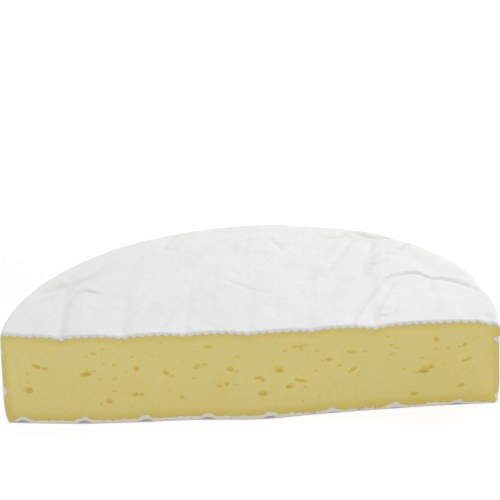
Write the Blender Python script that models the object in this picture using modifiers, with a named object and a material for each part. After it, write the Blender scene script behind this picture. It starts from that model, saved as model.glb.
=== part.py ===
"""Half of a large camembert wheel, as it stays after the wheel is cut in two.

The wheel is turned from the profile of its rind, eased out of true as soft
cheese is, and halved by a knife whose cut bows a little. The bars of the rack
that it ripened on have pressed their grooves into its top and base, a few
creases run round the top near the rim, and small eyes lie open in the cut.

Metres, +Z up. The cut face looks along -Y with its length along X, the round
rim is towards +Y, and the origin is the middle of the box's base.
"""
import math
import random

import bmesh
import bpy
from mathutils import Euler, Matrix, Vector, noise

MM = 0.001
NAME = "camembert_half"

# The wheel before it is cut
WHEEL_RADIUS = 119.3 * MM
WHEEL_HEIGHT = 47 * MM
HEIGHT_LEAN = 1.55 * MM          # higher than that at -X, lower at +X
SHOULDER = 3.8 * MM              # radius where the top turns into the side
SHOULDER_AT_CUT = 1.8 * MM       # the knife has drawn it sharper at the two ends of the cut
SHOULDER_EASE = 16               # power of the run from one radius to the other
LOWER_EDGE = 0.8 * MM            # radius where the side turns under
FOOT_PULL = 0.9 * MM             # how far the side draws in below FOOT_HEIGHT
FOOT_HEIGHT = 13 * MM
SIDE_BULGE = 0.8 * MM
BULGE_HEIGHT = 0.33              # of the wheel's height
SIDE_LEAN = 1.4 * MM             # how far the top of the side stands to +X of its foot
TURN_STEPS = 96
TOP_RINGS = 9
SHOULDER_STEPS = 3
EDGE_STEPS = 2
SIDE_STEPS = 6
SIDE_CROWDING = 1.6              # the steps of the side lie closer near its foot

# How far the wheel is out of true
OUTLINE_WAVES = (                # lobes, cosine part, sine part
    (1, 0.3 * MM, -0.28 * MM),
    (2, -0.1 * MM, 1.42 * MM),
    (3, -0.24 * MM, 0.4 * MM),
)
RIM_DENTS = (                    # degrees from +X, half width in degrees, height
    (17, 6.5, -1.6 * MM),
    (60, 6, 0.9 * MM),
    (75, 6, -1.2 * MM),
)
TOP_WAVE = 0.45 * MM             # broad folds of the rind
TOP_WAVE_LENGTH = 34 * MM
RIM_TROUGH = 0.4 * MM            # shallow trough just inside the rim
RIM_TROUGH_INSET = 13 * MM
RIM_TROUGH_HALF = 5 * MM
SIDE_WAVE = 0.25 * MM
LEAN_PIVOT = 0.55                # of the height, where the leaning side stays in place
RIM_EASE = 8                     # power by which the rim's unevenness dies out inwards

# The knife's cut bows out in a sum of half waves
BOW_WAVES = (4.8 * MM, 1.5 * MM, 0.3 * MM, 0.6 * MM)
CUT_STEPS = 24
KNIFE_CLEARANCE = 20 * MM

# The rack's bars run straight back from the cut. Each is given by the depth of its groove and, on
# the top, where it rises out of the rind again, by how far behind the cut that is.
BAR_PITCH = 30.1 * MM
TOP_BAR_FROM = -89.5 * MM        # X of the first one
TOP_BAR_HALF = 5.5 * MM          # half width of a groove
TOP_BARS = (
    (2.3 * MM, 55 * MM),
    (1.6 * MM, 30 * MM),
    (1.3 * MM, 26 * MM),
    (1.3 * MM, 26 * MM),
    (1.3 * MM, 26 * MM),
    (2.1 * MM, 40 * MM),
    (0.5 * MM, 14 * MM),
    (2.4 * MM, 20 * MM),
)
BASE_BAR_FROM = -111.6 * MM
BASE_BAR_HALF = 3.2 * MM
BASE_BARS = tuple(MM * depth for depth in (1.4, 1.5, 1.4, 1.3, 1.3, 0.6, 0.5, 0.9))
BAR_SIDES = 32

# Creases of the top: half width, depth, and the points that each passes, in mm
CREASES = (
    (2.2, 0.9, ((63, 38.5), (67, 49.2), (74, 53), (82.4, 53.3), (87.6, 47.9), (91.4, 47.4), (97, 45.9),
                (105, 38.3), (112, 29.6))),
    (2.2, 0.8, ((-90, 34), (-86.2, 41.5), (-80.9, 45.2), (-75, 42), (-71, 41))),
    (2.8, 0.9, ((-111, 39.5), (-98.9, 48.4), (-90, 53), (-80.7, 60.9), (-75.6, 69.2), (-71, 80))),
    (2.2, 0.7, ((39, 60), (44.4, 75), (49.4, 91.5))),
    (2.6, 1.1, ((50, 104.5), (58, 98.5), (64.6, 97.9), (73, 93.5))),
    (2.0, 0.6, ((34, 97), (43, 98.7), (50.9, 104.5))),
    (2.4, 0.6, ((55, 0), (63.5, 18), (70, 41))),
)
CREASE_STEPS = 4                 # between two points

# Eyes of the paste that are large enough to count one by one, as they lie on
# the cut: X and Z of the middle, width, height, and turn in degrees, in mm
LARGE_EYES = (
    (-107.5, 18, 4.3, 3, 0), (-101, 30.6, 6.2, 2.2, -15), (-77.4, 27.5, 7.8, 2.8, 14),
    (-74.5, 38, 3.8, 1.8, -18), (-68.5, 12, 3.1, 2, -38), (-54, 29, 2.4, 2.3, 10),
    (-39, 25.2, 5.6, 2, -30), (-54.5, 15.2, 5.2, 1.8, 0), (-33, 12.5, 2.2, 1.7, -30),
    (-23.8, 29.3, 5.8, 2.6, 18), (-19, 39.5, 4.3, 1.6, -8), (-8, 26.5, 5.2, 1.9, -15),
    (-13, 18.8, 4.4, 1.7, 12), (5, 21.6, 4.8, 1.8, -12), (6, 13.5, 4.5, 2.2, 0),
    (14.5, 25.4, 3.6, 2.6, -8), (19, 16.4, 3.3, 2.1, 5), (24.4, 18.9, 4.6, 1.6, -14),
    (24.5, 37.1, 6.8, 1.6, 8), (37.5, 28.8, 4, 1.4, 0), (50, 32, 5.3, 1.8, -14),
    (49.5, 22.8, 4.2, 1.4, 20), (43.5, 25.4, 2.2, 1.8, -30), (84.6, 20.1, 7.6, 3.5, 8),
    (90, 35.7, 2.5, 2.2, -10), (102.8, 31.7, 4.2, 1.6, 12), (104.3, 24.2, 3.8, 1.7, 24),
    (101, 10.5, 3, 1.6, 12), (78.5, 7.2, 3.4, 1.8, -4), (70, 33.1, 4, 1.2, -15), (90, 30.8, 2.3, 1, 25),
    (96, 31, 2.1, 1.2, 15), (-5.7, 33.4, 2.6, 1, 0), (-69.4, 32.5, 2, 1.3, 5), (-64.6, 24, 2.2, 1.6, 0),
    (-65.4, 17.4, 2.6, 1.4, -15),
)
SMALL_EYES = 44
SMALL_EYE_WIDTH = (1.1 * MM, 2.3 * MM)
SMALL_EYE_FLATNESS = (0.6, 1.0)
EYE_DEPTH = 0.5                  # of the eye's height
EYE_SET_BACK = 0.05 * MM         # of an eye's middle behind the cut
EYE_FINE_WIDTH = 4.5             # eyes at least this wide, in mm, get the finer form
EYE_ROUGHNESS = 0.28
EYE_MARGIN = 5 * MM              # kept between small eyes and the rind
EYE_GAP = 1.0 * MM               # kept between two eyes
SEED = 11

RIND_COLOUR = (0.86, 0.86, 0.84, 1.0)
PASTE_COLOUR = (0.80, 0.66, 0.24, 1.0)


def clear_objects():
    for old in list(bpy.data.objects):
        bpy.data.objects.remove(old, do_unlink=True)


def new_collection(name):
    made = bpy.data.collections.new(name)
    bpy.context.scene.collection.children.link(made)
    return made


def new_material(name, colour, roughness):
    material = bpy.data.materials.new(name)
    material.use_nodes = True
    material.diffuse_color = colour
    shader = material.node_tree.nodes["Principled BSDF"]
    shader.inputs["Base Color"].default_value = colour
    shader.inputs["Roughness"].default_value = roughness
    shader.inputs["Metallic"].default_value = 0.0
    return material


def new_object(name, data, collection, material):
    made = bpy.data.objects.new(name, data)
    collection.objects.link(made)
    if not data.materials:
        data.materials.append(material)
    return made


def apply_modifiers(thing):
    """Give the object its evaluated mesh, and take its modifiers off."""
    graph = bpy.context.evaluated_depsgraph_get()
    mesh = bpy.data.meshes.new_from_object(thing.evaluated_get(graph))
    thing.modifiers.clear()
    thing.data = mesh


def mesh_from_curve(thing, weld=0.01 * MM):
    """Turn a filled curve into a closed mesh object that takes its place."""
    graph = bpy.context.evaluated_depsgraph_get()
    mesh = bpy.data.meshes.new_from_object(thing.evaluated_get(graph))
    shape = bmesh.new()
    shape.from_mesh(mesh)
    bmesh.ops.remove_doubles(shape, verts=shape.verts, dist=weld)
    bmesh.ops.recalc_face_normals(shape, faces=shape.faces)
    shape.to_mesh(mesh)
    shape.free()
    made = bpy.data.objects.new(thing.name + "_mesh", mesh)
    made.matrix_world = thing.matrix_world
    thing.users_collection[0].objects.link(made)
    bpy.data.objects.remove(thing, do_unlink=True)
    return made


def mark_as_cutter(thing):
    thing.hide_render = True
    thing.display_type = "WIRE"


# ---------------------------------------------------------------- the wheel

def arc_points(centre_r, centre_z, radius, start, end, steps):
    """Points (r, z) of an arc; angles in degrees from +r towards +z."""
    points = []
    for step in range(steps + 1):
        angle = math.radians(start + (end - start) * step / steps)
        points.append((centre_r + radius * math.cos(angle), centre_z + radius * math.sin(angle)))
    return points


def bulge_at(level):
    """How far the side stands out at a level from 0, the base, to 1, the top."""
    power = math.log(0.5) / math.log(BULGE_HEIGHT)
    across = 2 * level ** power - 1
    return SIDE_BULGE * (1 - across ** 4)


def foot_at(z):
    """How far the foot of the side draws in at a height."""
    return FOOT_PULL * max(1 - z / FOOT_HEIGHT, 0.0) ** 2


def rind_profile():
    """The wheel's outline (r, z), from the top's middle down the side to the base's middle."""
    flat = WHEEL_RADIUS - SHOULDER
    points = [(flat * ring / TOP_RINGS, WHEEL_HEIGHT) for ring in range(TOP_RINGS)]
    side_top = WHEEL_HEIGHT - SHOULDER
    points += arc_points(flat, side_top, SHOULDER, 90, 0, SHOULDER_STEPS)
    for step in range(1, SIDE_STEPS):
        rest = (1 - step / SIDE_STEPS) ** SIDE_CROWDING
        points.append((WHEEL_RADIUS, LOWER_EDGE + (side_top - LOWER_EDGE) * rest))
    foot = WHEEL_RADIUS - LOWER_EDGE
    points += arc_points(foot, LOWER_EDGE, LOWER_EDGE, 0, -90, EDGE_STEPS)
    points += [(foot / 2, 0.0), (0.0, 0.0)]
    outline = []
    for r, z in points:
        stand_out = bulge_at(z / WHEEL_HEIGHT) - foot_at(z)
        outline.append((r + stand_out * min(1.0, r / foot) ** 20, z))
    return outline


def turn_wheel(collection, material):
    """Turn the profile about Z into one closed wheel."""
    points = rind_profile()
    mesh = bpy.data.meshes.new(NAME)
    edges = [(index, index + 1) for index in range(len(points) - 1)]
    mesh.from_pydata([(r, 0.0, z) for r, z in points], edges, [])
    wheel = new_object(NAME, mesh, collection, material)
    screw = wheel.modifiers.new("Turn", "SCREW")
    screw.angle = math.tau
    screw.steps = TURN_STEPS
    screw.render_steps = TURN_STEPS
    screw.use_merge_vertices = True
    screw.merge_threshold = 0.01 * MM
    apply_modifiers(wheel)
    half_step = math.pi / TURN_STEPS
    wheel.data.transform(Matrix.Rotation(half_step, 4, "Z"))
    return wheel


def out_of_round(angle):
    """How far the rim stands off its true circle at an angle."""
    offset = 0.0
    for lobes, cosine, sine in OUTLINE_WAVES:
        offset += cosine * math.cos(lobes * angle) + sine * math.sin(lobes * angle)
    for place, half, height in RIM_DENTS:
        offset += height * math.exp(-((math.degrees(angle) - place) / half) ** 2)
    return offset


def sharpen_shoulder(r, z, across):
    """Move a point of the shoulder's arc to the smaller arc that the shoulder has near the cut."""
    past_r = (r - WHEEL_RADIUS + SHOULDER) / SHOULDER
    past_z = (z - WHEEL_HEIGHT + SHOULDER) / SHOULDER
    if past_r <= 0 or past_z <= 0:
        return r, z
    shift = (SHOULDER - SHOULDER_AT_CUT) * across ** SHOULDER_EASE
    return r + shift * max(1 - past_r, 0.0), z + shift * max(1 - past_z, 0.0)


def top_relief(x, y, radius):
    """Height of the top's soft folds and of the trough inside its rim."""
    place = Vector((x, y, 0.0)) / TOP_WAVE_LENGTH
    folds = TOP_WAVE * noise.noise(place)
    inset = WHEEL_RADIUS - radius - RIM_TROUGH_INSET
    return folds - RIM_TROUGH * math.exp(-(inset / RIM_TROUGH_HALF) ** 2)


def ease_wheel(wheel):
    """Move the true wheel's vertices to the uneven form of a soft cheese."""
    shape = bmesh.new()
    shape.from_mesh(wheel.data)
    for vertex in shape.verts:
        angle = math.atan2(vertex.co.y, vertex.co.x)
        across, back = math.cos(angle), math.sin(angle)
        radius, z = sharpen_shoulder(math.hypot(vertex.co.x, vertex.co.y), vertex.co.z, across)
        level = z / WHEEL_HEIGHT
        offset = out_of_round(angle) + SIDE_LEAN * (level - LEAN_PIVOT) * across
        offset += SIDE_WAVE * noise.noise(vertex.co / TOP_WAVE_LENGTH)
        radius += offset * (radius / WHEEL_RADIUS) ** RIM_EASE
        x, y = radius * across, radius * back
        height = z + top_relief(x, y, radius) * level ** 8
        height -= HEIGHT_LEAN * (x / WHEEL_RADIUS) * level
        vertex.co = (x, y, height)
    bmesh.ops.recalc_face_normals(shape, faces=shape.faces)
    shape.to_mesh(wheel.data)
    shape.free()


# --------------------------------------------------------------- the cutters

def smooth_line(values, share):
    """The value at a share from 0 to 1 of a smooth line through evenly spaced values."""
    spans = len(values) - 1
    place = share * spans
    index = min(max(int(place), 0), spans - 1)
    part = min(max(place - index, 0.0), 1.0)
    before, start, end, after = (values[min(max(index + step, 0), spans)] for step in (-1, 0, 1, 2))
    return 0.5 * (2 * start + (end - before) * part
                  + (2 * before - 5 * start + 4 * end - after) * part ** 2
                  + (3 * start - before - 3 * end + after) * part ** 3)


def bow_at(x):
    """How far the cut stands out towards -Y at an X."""
    share = (x / WHEEL_RADIUS + 1) / 2
    return sum(height * math.sin(math.pi * share * wave) for wave, height in enumerate(BOW_WAVES, start=1))


def groove_radius(half_width, depth):
    """Radius of the rod that leaves a groove of this half width and depth in a flat face."""
    return (half_width ** 2 + depth ** 2) / (2 * depth)


def make_knife(collection, material):
    """The block that takes the front half away, its back face bowed as the cut is."""
    reach = WHEEL_RADIUS + KNIFE_CLEARANCE
    outline = [(-reach, -reach), (reach, -reach), (reach, 0.0)]
    for step in range(CUT_STEPS + 1):
        x = WHEEL_RADIUS * (1 - 2 * step / CUT_STEPS)
        outline.append((x, -bow_at(x)))
    outline.append((-reach, 0.0))
    curve = bpy.data.curves.new("knife", "CURVE")
    curve.dimensions = "2D"
    curve.fill_mode = "BOTH"
    curve.extrude = WHEEL_HEIGHT / 2 + KNIFE_CLEARANCE
    spline = curve.splines.new("POLY")
    spline.points.add(len(outline) - 1)
    for point, (x, y) in zip(spline.points, outline):
        point.co = (x, y, 0.0, 1.0)
    spline.use_cyclic_u = True
    knife = new_object("knife", curve, collection, material)
    knife.location.z = WHEEL_HEIGHT / 2
    bpy.context.view_layer.update()
    knife = mesh_from_curve(knife)
    mark_as_cutter(knife)
    return knife


def add_bar(shape, x, radius, low, slope):
    """A rod along Y over X: its lowest line has this height at the cut and rises from there by the slope."""
    length = 2 * (WHEEL_RADIUS + 2 * KNIFE_CLEARANCE)
    tilt = Euler((math.radians(90) + math.atan(slope), 0.0, 0.0)).to_matrix().to_4x4()
    place = Matrix.Translation((x, -bow_at(x), low + radius)) @ tilt
    bmesh.ops.create_cone(shape, cap_ends=True, segments=BAR_SIDES, radius1=radius, radius2=radius,
                          depth=length, matrix=place)


def top_at(x):
    """Height of the eased top over an X, folds aside."""
    return WHEEL_HEIGHT - HEIGHT_LEAN * x / WHEEL_RADIUS


def make_bars(name, collection, material, bars):
    """Bars of the rack as one cutter, from the X, radius, lowest height and slope of each."""
    shape = bmesh.new()
    for bar in bars:
        add_bar(shape, *bar)
    bmesh.ops.recalc_face_normals(shape, faces=shape.faces)
    mesh = bpy.data.meshes.new(name)
    shape.to_mesh(mesh)
    shape.free()
    made = new_object(name, mesh, collection, material)
    mark_as_cutter(made)
    return made


def top_bars():
    """The bars over the top: they sink in at the cut and rise out of the rind behind it."""
    for index, (depth, run) in enumerate(TOP_BARS):
        x = TOP_BAR_FROM + BAR_PITCH * index
        yield x, groove_radius(TOP_BAR_HALF, depth), top_at(x) - depth, depth / run


def base_bars():
    """The bars under the base: level, each sunk in by its own depth."""
    for index, depth in enumerate(BASE_BARS):
        radius = groove_radius(BASE_BAR_HALF, depth)
        yield BASE_BAR_FROM + BAR_PITCH * index, radius, depth - 2 * radius, 0.0


def make_crease(index, half_width, depth, points, collection, material):
    """A round wire laid along the crease, sunk into the top and rising out of it at both ends."""
    radius = groove_radius(half_width, depth)
    steps = CREASE_STEPS * (len(points) - 1)
    curve = bpy.data.curves.new("crease_%d" % index, "CURVE")
    curve.dimensions = "3D"
    curve.bevel_depth = radius * MM
    curve.bevel_resolution = 4
    curve.use_fill_caps = True
    spline = curve.splines.new("POLY")
    spline.points.add(steps)
    for step, point in enumerate(spline.points):
        share = step / steps
        x = smooth_line([place[0] for place in points], share) * MM
        y = smooth_line([place[1] for place in points], share) * MM
        sunk = depth * (2 * math.sin(math.pi * share) ** 0.5 - 1)
        top = top_at(x) + top_relief(x, y, math.hypot(x, y))
        point.co = (x, y, top + (radius - sunk) * MM, 1.0)
    wire = new_object("crease_%d" % index, curve, collection, material)
    bpy.context.view_layer.update()
    wire = mesh_from_curve(wire)
    mark_as_cutter(wire)
    return wire


def add_eye(shape, x, z, wide, high, turn, detail, draw):
    """A small uneven hollow across the cut, wider than it is high."""
    tilt = Euler((0.0, -math.radians(turn), 0.0)).to_matrix().to_4x4()
    size = Matrix.Diagonal((wide / 2, EYE_DEPTH * high, high / 2, 1.0))
    place = Matrix.Translation((x, EYE_SET_BACK - bow_at(x), z)) @ tilt @ size
    made = bmesh.ops.create_icosphere(shape, subdivisions=detail, radius=1.0)
    phase = Vector((draw.uniform(0, 99), draw.uniform(0, 99), draw.uniform(0, 99)))
    for vertex in made["verts"]:
        swell = 1.0 + EYE_ROUGHNESS * 2 * noise.noise(vertex.co * 1.3 + phase)
        vertex.co = place @ (vertex.co * swell)


def scatter_small_eyes(draw):
    """Places of the small eyes, spread over the cut and clear of each other."""
    taken = [(x * MM, z * MM, wide * MM / 2) for x, z, wide, _high, _turn in LARGE_EYES]
    eyes = []
    reach = WHEEL_RADIUS - EYE_MARGIN
    while len(eyes) < SMALL_EYES:
        wide = draw.uniform(*SMALL_EYE_WIDTH)
        x = draw.uniform(-reach, reach)
        z = draw.uniform(EYE_MARGIN, top_at(x) - EYE_MARGIN)
        room = all(math.hypot(x - ox, z - oz) > wide / 2 + other + EYE_GAP for ox, oz, other in taken)
        if room:
            taken.append((x, z, wide / 2))
            high = wide * draw.uniform(*SMALL_EYE_FLATNESS)
            eyes.append((x, z, wide, high, draw.uniform(-30, 30)))
    return eyes


def make_eyes(collection, material):
    """Every eye of the cut face as one cutter."""
    draw = random.Random(SEED)
    shape = bmesh.new()
    for x, z, wide, high, turn in LARGE_EYES:
        detail = 2 if wide >= EYE_FINE_WIDTH else 1
        add_eye(shape, x * MM, z * MM, wide * MM, high * MM, turn, detail, draw)
    for x, z, wide, high, turn in scatter_small_eyes(draw):
        add_eye(shape, x, z, wide, high, turn, 1, draw)
    bmesh.ops.recalc_face_normals(shape, faces=shape.faces)
    mesh = bpy.data.meshes.new("eyes")
    shape.to_mesh(mesh)
    shape.free()
    eyes = new_object("eyes", mesh, collection, material)
    mark_as_cutter(eyes)
    return eyes


def cut_away(body, cutter):
    """Take the cutter out of the body; the new faces take the cutter's material."""
    cut = body.modifiers.new(cutter.name, "BOOLEAN")
    cut.operation = "DIFFERENCE"
    cut.solver = "EXACT"
    cut.object = cutter
    cut.material_mode = "TRANSFER"
    apply_modifiers(body)


def move_origin_to_base(body):
    """Shift the mesh so that the origin is the middle of its box's base."""
    corners = [vertex.co for vertex in body.data.vertices]
    low = [min(corner[axis] for corner in corners) for axis in range(3)]
    high = [max(corner[axis] for corner in corners) for axis in range(3)]
    shift = Vector((-(low[0] + high[0]) / 2, -(low[1] + high[1]) / 2, -low[2]))
    body.data.transform(Matrix.Translation(shift))


def main():
    clear_objects()
    parts = new_collection("camembert")
    cutters = new_collection("cutters")
    rind = new_material("rind", RIND_COLOUR, 0.85)
    paste = new_material("paste", PASTE_COLOUR, 0.45)

    half = turn_wheel(parts, rind)
    ease_wheel(half)
    cut_away(half, make_bars("top_bars", cutters, rind, top_bars()))
    cut_away(half, make_bars("base_bars", cutters, rind, base_bars()))
    for index, (half_width, depth, points) in enumerate(CREASES):
        cut_away(half, make_crease(index, half_width, depth, points, cutters, rind))
    cut_away(half, make_knife(cutters, paste))
    cut_away(half, make_eyes(cutters, paste))
    move_origin_to_base(half)
    half.data.shade_smooth()
    half.data.set_sharp_from_angle(angle=math.radians(35))


main()
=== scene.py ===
import math
import random
from typing import NamedTuple

import bpy
from mathutils import Matrix, Vector


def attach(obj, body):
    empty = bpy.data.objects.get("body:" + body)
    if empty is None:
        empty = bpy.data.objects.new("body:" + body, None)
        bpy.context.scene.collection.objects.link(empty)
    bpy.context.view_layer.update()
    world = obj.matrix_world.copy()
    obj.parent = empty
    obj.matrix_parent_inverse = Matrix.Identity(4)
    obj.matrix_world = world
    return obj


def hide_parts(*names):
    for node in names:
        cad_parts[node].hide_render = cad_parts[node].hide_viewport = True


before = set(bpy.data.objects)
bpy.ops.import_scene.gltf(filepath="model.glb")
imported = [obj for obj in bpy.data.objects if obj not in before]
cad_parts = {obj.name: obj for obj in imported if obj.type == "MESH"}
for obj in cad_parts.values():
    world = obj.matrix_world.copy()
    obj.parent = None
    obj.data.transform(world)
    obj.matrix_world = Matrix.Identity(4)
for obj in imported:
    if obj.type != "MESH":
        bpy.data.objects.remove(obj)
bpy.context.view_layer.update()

MM = 0.001
NODE = "camembert_half"
BODY = "root"

# The wheel before it is cut. X and Y below are measured from its axis, the cut near Y = 0.
WHEEL_RADIUS = 119.3 * MM
WHEEL_HEIGHT = 47 * MM
HEIGHT_LEAN = 1.55 * MM  # higher than that at -X, lower at +X
SHOULDER = 3.8 * MM
SHOULDER_AT_CUT = 1.8 * MM
LOWER_EDGE = 1.0 * MM
FOOT_PULL = 1.1 * MM  # how far the side draws in below FOOT_HEIGHT
FOOT_HEIGHT = 13 * MM
SIDE_BULGE = 0.8 * MM
BULGE_HEIGHT = 0.33  # of the wheel's height
SIDE_LEAN = 1.4 * MM  # how far the top of the side stands to +X of its foot
LEAN_FROM = 0.55  # the share of the height that the lean leaves in its place
OUTLINE_WAVES = ((1, 0.3 * MM, -0.28 * MM), (2, -0.1 * MM, 1.42 * MM), (3, -0.24 * MM, 0.4 * MM))
RIM_DENTS = ((17, 6.5, -1.6 * MM), (60, 6, 0.9 * MM), (75, 6, -1.2 * MM))  # angle, half width, height
BOW_WAVES = (4.8 * MM, 1.5 * MM, 0.3 * MM, 0.6 * MM)
BELLY_AT = 3 * MM  # the cut bellies out once more about its middle, most at its foot
BELLY_HALF = 22 * MM
BELLY = (0.8 * MM, 2.6 * MM)  # at the top and at the base
KNIFE_WAVER = 0.16 * MM
WHEEL_AXIS_X = 0.07 * MM  # where the wheel's axis stands in the frame
WHEEL_AXIS_Y = -57.17 * MM

# The rack's bars run straight back. Depth at the cut and further back, in mm, from -X to +X.
BAR_PITCH = 30.1 * MM
TOP_BAR_FROM = -119.6 * MM
TOP_BARS = ((0.0, 0.0), (2.3, 0.5), (1.6, 0.2), (1.3, 0.14), (1.3, 0.12), (1.3, 0.15), (2.1, 0.3),
            (0.5, 0.12), (0.8, 0.0))
CORNER_DROP = 1.8 * MM  # of the top at the right end of the cut
CORNER_FROM = 110.3 * MM
CORNER_RUN = 5 * MM
CORNER_BACK = 10 * MM
TOP_BAR_HALF = 4.2 * MM  # of the notch at the cut
TOP_BAR_BLUNT = 1.0 * MM
TOP_BAR_RUN = 13 * MM  # how far back the notch reaches
TOP_BAR_WHOLE = 4 * MM  # the notch is whole as far before the axis
TOP_TRACE_HALF = 2.0 * MM  # of what is left of it behind
TRACE_FADES = (44 * MM, 64 * MM)  # behind the axis
TROUGH_IN = 13 * MM  # the shallow trough round the top lies this far inside the rim
TROUGH_HALF = 5 * MM
TROUGH_DEPTH = 0.4 * MM
BASE_BAR_FROM = -111.6 * MM
BASE_BARS = ((1.4, 1.7), (1.5, 1.8), (1.4, 1.8), (1.3, 1.7), (1.3, 1.8), (0.6, 1.6), (0.5, 1.4), (0.9, 1.4))
BASE_BAR_HALF = 2.5 * MM

# The rind's thickness, and the teeth in which the paste meets it at the cut
TOP_RIND = 1.5 * MM
SIDE_RIND = 0.45 * MM
BASE_RIND = 1.0 * MM
BASE_RIND_LEFT = 0.6 * MM  # more than that towards -X
BASE_RIND_MORE = ((-33, 9, 0.5), (1, 24, 1.0), (69.5, 6, 0.7), (88, 5, 0.7))  # middle, half width, more
BASE_RIND_ENDS = 114 * MM  # from there on the base's rind thins out
SIDE_PATCHES = ((-1, 16.5, 1.9, 1.4), (-1, 37, 0.9, 0.7), (1, 35.8, 1.35, 2.3), (1, 4.2, 1.0, 1.4),
                (1, 40.6, 3.2, -1.1))  # end, height, half height and extra thickness, in mm
SIDE_PATCH_SIDES = 6  # how square a patch is
PATCH_REACH = (0.9994, 0.99996)  # shares of the way across between which a patch comes in
TOOTH_PITCH = 3.855 * MM
TOOTH_AT = -1.9 * MM
TOOTH_HEIGHT = 1.15 * MM
TOOTH_HALF = 0.55 * MM
TOOTH_BLUNT = 0.25 * MM
TOOTH_BUMP = 0.35 * MM  # how far a tooth lifts the rind over it
CUT_EDGE_DROP = 0.3 * MM  # how far the knife has drawn the top's edge down
RIND_PROUD = 0.07 * MM  # the rind's cut edge stands before the paste by this
PASTE_TUCK = 0.15 * MM  # the paste reaches into the rind by this
SIDE_TUCK = 0.3 * MM
RIND_BEHIND = 2.2 * MM  # the rind is thicker by this out of sight, behind the cut
CORE_FRONT = 3 * MM

RIND_CELLS = (337, 169, 31)
CORE_CROWDING = 1.8  # power by which the core's rows lie closer near the cut
CORE_CELLS = (785, 13, 79)
PASTE_CELLS = (785, 13, 79)
HIDDEN_FROM = 2 * MM  # behind the wheel's axis
HIDDEN_BELOW = 2.2 * MM  # the base's flat middle lies below this
HIDDEN_WITHIN = 5 * MM  # and so far inside the rim
HIDDEN_KEPT = 0.06  # share kept of the triangles that don't show
SHARP_ANGLE = 40

# Powers by which forms fade: the higher, the closer they keep to where they belong
CUT_FADE = 8.0  # the sharper shoulder, to the ends of the cut
RIM_FADE = 16.0  # the outline's waves, to the rim
SWELL_FADE = 30.0  # the side's swellings, to the rim
TOP_FADE = 10.0
BASE_FADE = 14.0
BELLY_FADE = 6.0  # the belly, to the cut

BODY_SOLVER = "MANIFOLD"
TINY = 1e-6


class Fold(NamedTuple):
    """A crease, ridge or soft trough of the top, in mm: it runs through its points."""
    half: float  # half width
    valley: float  # depth along the line, below 0 for a ridge
    step: float  # how much higher its left side lies, seen along the line
    points: tuple


FOLDS = (
    Fold(1.0, 0.95, 0.85, ((62, 36), (63.5, 41), (65.2, 46), (67, 49.2), (70, 51.4), (74, 53), (78, 54.4),
        (82.4, 53.3), (85.2, 50.9), (87.3, 48.6), (89.6, 47.2), (92, 47.6), (94, 47.6), (97, 45.9),
        (100.4, 43.3), (105, 38.3), (108.4, 34.6), (112, 29.6), (114.5, 25.5))),
    Fold(0.9, 0.4, 0.0, ((79, 54.5), (80, 56.4), (81.4, 59.5))),
    Fold(1.0, 0.45, 0.2, ((89.4, 47), (89, 42), (88.7, 37), (88.6, 31))),
    Fold(1.3, -0.7, -0.2, ((51.6, 0), (52.7, 3.2), (55.5, 12.3), (58.3, 19.9), (61.1, 27.5), (64, 35.3),
        (66.8, 42.3))),
    Fold(1.5, 0.55, 0.0, ((55, 0), (59, 8), (63.5, 18), (67, 30), (70, 41), (72, 47))),
    Fold(1.5, 0.5, 0.0, ((48.5, 2), (51, 12), (54.5, 22), (58.5, 32), (62, 42))),
    Fold(1.5, 0.6, 0.0, ((59.8, -2), (61.5, 5), (63.5, 8), (68, 8.5), (71, 14), (74, 24))),
    Fold(1.4, 0.8, 0.35, ((-90, 34), (-88, 38), (-86.2, 41.5), (-85, 43.6), (-83, 45), (-80.9, 45.2),
        (-78, 44), (-75, 42), (-71, 41))),
    Fold(1.8, 0.55, 0.1, ((37, 54), (39, 60), (41, 65), (44.4, 75), (47.4, 84.5), (49.4, 91.5), (51, 96))),
    Fold(1.3, 0.7, 0.0, ((34, 97), (38.5, 99), (43, 98.7), (46.5, 101.8), (50.9, 104.5))),
    Fold(1.8, 1.2, 0.4, ((50, 104.5), (54.5, 101), (58, 98.5), (61.7, 97.6), (64.6, 97.9), (69, 96.4),
        (73, 93.5))),
    Fold(1.6, 0.7, 0.0, ((62, 92), (61.2, 89.4), (60.2, 86.1), (59.3, 82.5), (58, 78))),
    Fold(1.7, 0.9, 0.0, ((79.5, 88.5), (77.8, 88), (76, 86.2), (73.8, 83), (71, 81))),
    Fold(1.5, 0.55, 0.0, ((66, 77.6), (68, 77), (70.1, 76.6), (73, 76.8))),
    Fold(1.7, 0.6, 0.0, ((58.5, 65.2), (60.5, 65.8), (63, 66.4), (65, 67), (69, 69.4))),
)
SWELLS = (
    Fold(2.6, 0.95, 0.35, ((-111, 39.5), (-106.8, 42.7), (-102.2, 46), (-98.9, 48.4), (-95.6, 51.3),
        (-92.8, 52.7), (-90, 53), (-87.4, 55.5), (-84, 58.4), (-80.7, 60.9), (-78.1, 64.5), (-75.6, 69.2),
        (-71, 80))),
    Fold(3.4, 0.75, 0.0, ((56, 46), (56.5, 54), (57.5, 62), (59.5, 72), (61, 82))),
    Fold(4.0, 0.5, 0.0, ((27, 46), (30, 54), (33, 63))),
    Fold(4.0, 0.45, 0.0, ((78, 74), (84, 69), (90, 62))),
    Fold(5.0, -0.5, 0.0, ((28, 8), (42, 22), (50, 42), (52, 62))),
    Fold(4.0, -0.45, 0.0, ((-108, 20), (-100, 33), (-92, 47))),
)
FOLD_POINT_GAP = 0.6  # mm between two points of a fold's line
WRINKLES = 9  # fine ones beside the second bar
HIDDEN_FOLDS = 8
FOLD_SEED = 5
FOLD_LAYERS = ("Creases", "Folds Beside", "Folds Between", "Swells")
CREASE_MARK = "crease"  # the attribute by which the rind's colour darkens in them: painted shade, partly thinner bloom
FOLD_CLEAR = 9  # mm between two folds of one layer
STEP_REACH = 3.5  # half widths over which the step beside a fold evens out


# ---- trees

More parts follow.
